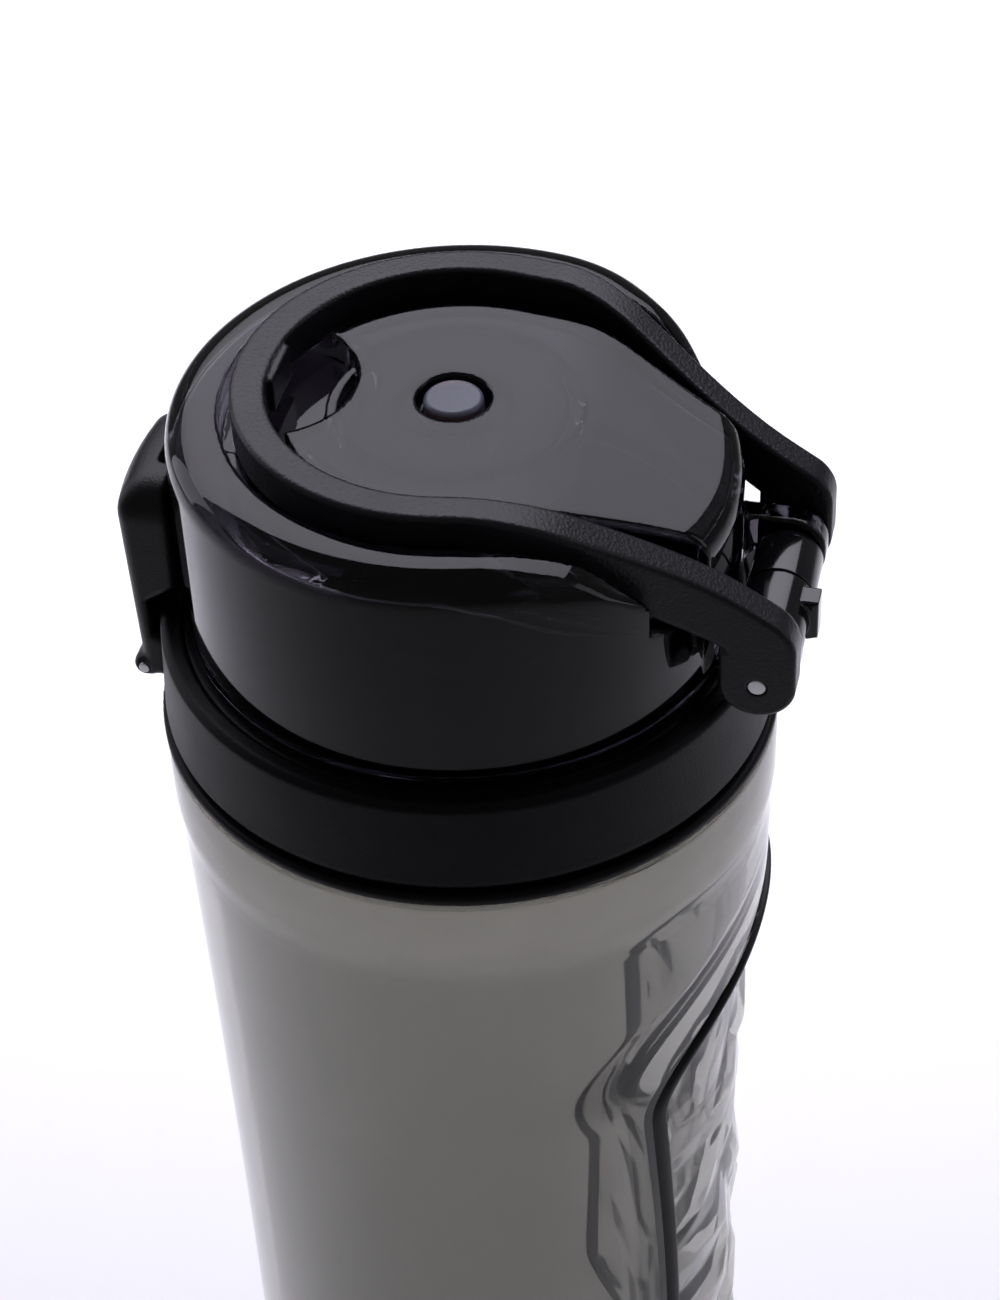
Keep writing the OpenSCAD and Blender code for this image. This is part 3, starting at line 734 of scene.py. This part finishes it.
coarse = 1.0
carve("lid_shell", lid_field, (-33, -33, 14), (33, 42, 45), 0.42 * coarse, smoked_lid, "lid", "flip_lid")
carve("loop_band", loop_field, (-26, -26, 14), (26, 42, 47), 0.3 * coarse, leather_black,
      "loop", "carry_loop")
carve("latch_body", lever_field, (-10, -41, 1), (10, -30, 33), 0.25 * coarse, satin_black,
      "latch", "latch_lever")
carve("collar_shell", collar_field, (-37, -37, 2), (37, 37, 15), 0.36 * coarse, cap_plastic,
      "cap", "collar_band")
carve("cap_shell", core_field, (-38, -42, -1), (38, 38, 15), 0.4 * coarse, cap_plastic, "cap", "cap_core")
carve("hinge_knuckle", knuckle_field, (-1, 32, 13), (8, 43, 24), 0.16 * coarse, gloss_black,
      "cap", "cap_core")

turned("neck_washer", [(NECK_BORE + 0.2, NECK_TOP + 0.1), (SKIRT_BORE - 0.3, NECK_TOP + 0.1),
                       (SKIRT_BORE - 0.3, NECK_TOP + 1.5), (NECK_BORE + 0.2, NECK_TOP + 1.5)],
       silicone, "cap_riser", "neck_gasket")
turned("spout_tube", [(8.6, 11.2), (11, 11.2), (11, 11.6), (10.4, LEDGE - 0.5), (10.4, LEDGE + 0.2),
                      (11.2, LEDGE + 0.2), (11.2, LEDGE + 1.2), (12.8, LEDGE + 1.2), (12.8, LEDGE - 0.3),
                      (13.6, LEDGE - 0.3), (13.6, LEDGE + 1.8), (12.4, LEDGE + 3), (11.6, 28),
                      (11, SPOUT_TOP - 0.8), (10.4, SPOUT_TOP), (9.4, SPOUT_TOP), (8.6, SPOUT_TOP - 0.8)],
       cap_plastic, "cap", "spout", 0.4)
turned("spout_ring", arc(12, LEDGE + 0.42, 0.73, 0, 345, 23), silicone, "cap", "spout_oring", 0)
turned("air_valve", [(0, 10.6), (1, 10.6), (2.1, 11.5), (1.4, 11.5), (1.4, LEDGE - 0.4), (4, LEDGE - 0.35),
                     (3.6, LEDGE + 0.3), (1, LEDGE + 0.9), (0, LEDGE + 0.9)],
       silicone, "cap", "vent_valve", 0.2, Matrix.Translation((0, VENT_Y, 0)), 48)
turned("lid_plug", [(0, SPOUT_TOP + 0.3), (12, SPOUT_TOP + 0.3), (12.5, SPOUT_TOP + 0.8),
                    (12.5, SPOUT_TOP + 2.4), (3.4, SPOUT_TOP + 2.4), (3.4, LID_TOP - 1.1),
                    (3, LID_TOP - 0.7), (0, LID_TOP - 0.7)],
       seal_blue, "lid", "lid_seal", 0.35, None, 96)
turned("pivot_pin", [(0, -ARM_X), (PIN_R, -ARM_X), (PIN_R, ARM_X), (0, ARM_X)],
       steel, "cap", "hinge_pin", 0.2, along_x(PIN_Y, PIN_H), 48)
turned("sleeve", [(BORE_R, -0.5), (BARREL_R, -0.5), (BARREL_R, -KNUCKLE_X), (3, -KNUCKLE_X), (3, -1.8),
                  (BORE_R, -1.8)], gloss_black, "cap", "spring_sleeve", 0.2,
       along_x(PIN_Y, PIN_H), 64)
turned("latch_rod", [(0, -LATCH_HALF_W), (LATCH_PIN_R, -LATCH_HALF_W), (LATCH_PIN_R, LATCH_HALF_W),
                     (0, LATCH_HALF_W)], steel, "cap", "latch_pin", 0.2, along_x(LATCH_Y, LATCH_H), 40)
for name, spec, wire, node in (
        ("lid_coil", (2.1, -KNUCKLE_X + 0.8, -2.4, 5, PIN_Y, PIN_H), 0.38, "hinge_spring"),
        ("latch_coil", (1.45, -1.7, 1.7, 4, LATCH_Y, LATCH_H), 0.23, "latch_spring")):
    points, faces = tube(coil_path(*spec), wire)
    mesh_piece(name, [tuple(p) for p in points], faces, steel, "cap", node)

# ---------------------------------------------------------------- stage, light and camera

floor_mesh = bpy.data.meshes.new("floor")
reach = 3.0
floor_mesh.from_pydata([(-reach, -reach, 0), (reach, -reach, 0), (reach, reach, 0), (-reach, reach, 0)], [],
                       [(0, 1, 2, 3)])
floor = bpy.data.objects.new("floor", floor_mesh)
bpy.context.scene.collection.objects.link(floor)
floor_mesh.materials.append(material("floor_white", (0.93, 0.93, 0.93), 0.7))

world = bpy.data.worlds.new("studio")
world.use_nodes = True
world.node_tree.nodes["Background"].inputs["Color"].default_value = (0.96, 0.97, 1.0, 1)
world.node_tree.nodes["Background"].inputs["Strength"].default_value = 0.14
bpy.context.scene.world = world
bpy.context.scene.view_settings.view_transform = "Standard"


def lamp(name, place, target, size, power, spread=180):
    data = bpy.data.lights.new(name, "AREA")
    data.shape = "RECTANGLE"
    data.size, data.size_y = size
    data.energy = power
    data.spread = math.radians(spread)
    data.color = (0.91, 0.89, 1.0)
    made = bpy.data.objects.new(name, data)
    made.location = place
    made.rotation_mode = "QUATERNION"
    made.rotation_quaternion = (Vector(target) - Vector(place)).to_track_quat("-Z", "Y")
    bpy.context.scene.collection.objects.link(made)


lamp("overhead", (-0.5, -0.14, 0.62), (-0.5, -0.14, 0), (0.7, 1.0), 6.9, 145)
lamp("left_box", (-0.2, -0.8, 0.4), (0, 0, 0.18), (0.3, 0.6), 1.0)
lamp("right_box", (-0.15, 0.85, 0.4), (0, 0, 0.15), (0.3, 0.6), 0.6)

FOCAL_PX, AZIMUTH, ELEVATION, ROLL = 3019.7, math.radians(15.13), math.radians(41.64), math.radians(-2.97)
EYE = Vector((259.1, 73.9, 442.8)) * MM
back = Vector((math.cos(ELEVATION) * math.cos(AZIMUTH), math.cos(ELEVATION) * math.sin(AZIMUTH),
               math.sin(ELEVATION)))
right = Vector((0, 0, 1)).cross(back).normalized()
up = back.cross(right)
right, up = (right * math.cos(ROLL) + up * math.sin(ROLL), -right * math.sin(ROLL) + up * math.cos(ROLL))
camera_data = bpy.data.cameras.new("camera")
camera_data.sensor_fit = "AUTO"
camera_data.sensor_width = 36
camera_data.lens = FOCAL_PX / 1300 * 36
camera_data.clip_start, camera_data.clip_end = 0.02, 20
camera = bpy.data.objects.new("camera", camera_data)
turn = Matrix((right, up, back)).transposed().to_4x4()
camera.matrix_world = Matrix.Translation(EYE) @ turn
bpy.context.scene.collection.objects.link(camera)
bpy.context.scene.camera = camera
